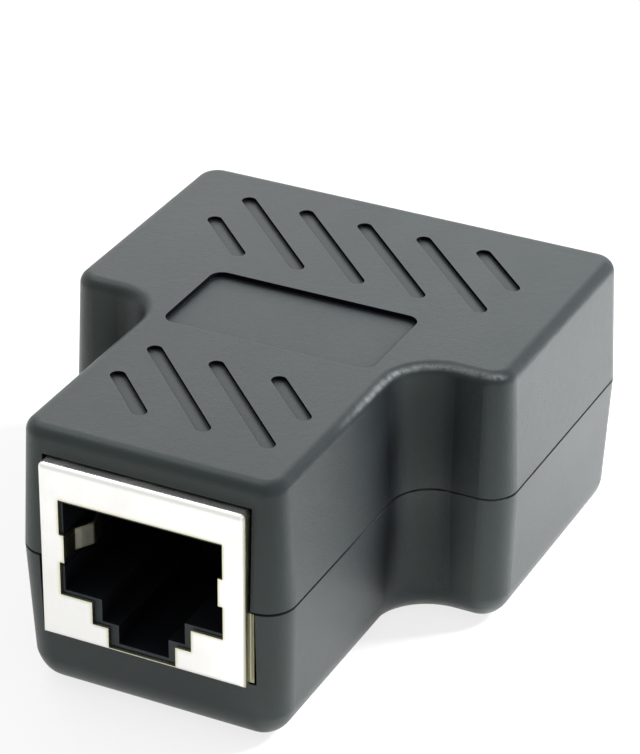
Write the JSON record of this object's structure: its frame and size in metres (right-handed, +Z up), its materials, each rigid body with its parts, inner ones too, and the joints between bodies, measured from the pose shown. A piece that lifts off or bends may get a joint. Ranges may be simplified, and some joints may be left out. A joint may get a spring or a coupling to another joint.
{
  "type": "network port splitter adapter",
  "caption": "Tee-shaped plastic network adapter that splits the shielded modular port in its stem to the ports in its wide end.",
  "frame": {"origin": "middle of the case's resting face", "axes": "+X across the wide end, +Y from the single port towards the pair, +Z up"},
  "size_m": [0.0348, 0.043, 0.0206],
  "materials": {
    "shell": "dark grey-black moulded plastic with a fine spark-eroded texture",
    "shield": "satin nickel-plated sheet with pressed folds",
    "housing": "black moulded glass-filled plastic",
    "carrier": "black plastic moulded round the contacts",
    "contact": "gold-plated spring wire",
    "board": "green lacquered glass-fibre board"
  },
  "bodies": {
    "root": {"upper_shell": "shell", "lower_shell": "shell", "circuit_board": "board", "front_jack_shield": "shield", "front_jack_housing": "housing", "rear_jack_shield": "shield", "rear_jack_housing": "housing", "front_contact_carrier": "carrier", "front_contact_1": "contact", "front_contact_2": "contact", "front_contact_3": "contact", "front_contact_4": "contact", "front_contact_5": "contact", "front_contact_6": "contact", "front_contact_7": "contact", "front_contact_8": "contact", "rear_left_contact_carrier": "carrier", "rear_left_contact_1": "contact", "rear_left_contact_2": "contact", "rear_left_contact_3": "contact", "rear_left_contact_4": "contact", "rear_left_contact_5": "contact", "rear_left_contact_6": "contact", "rear_left_contact_7": "contact", "rear_left_contact_8": "contact", "rear_right_contact_carrier": "carrier", "rear_right_contact_1": "contact", "rear_right_contact_2": "contact", "rear_right_contact_3": "contact", "rear_right_contact_4": "contact", "rear_right_contact_5": "contact", "rear_right_contact_6": "contact", "rear_right_contact_7": "contact", "rear_right_contact_8": "contact"}
  },
  "joints": []
}
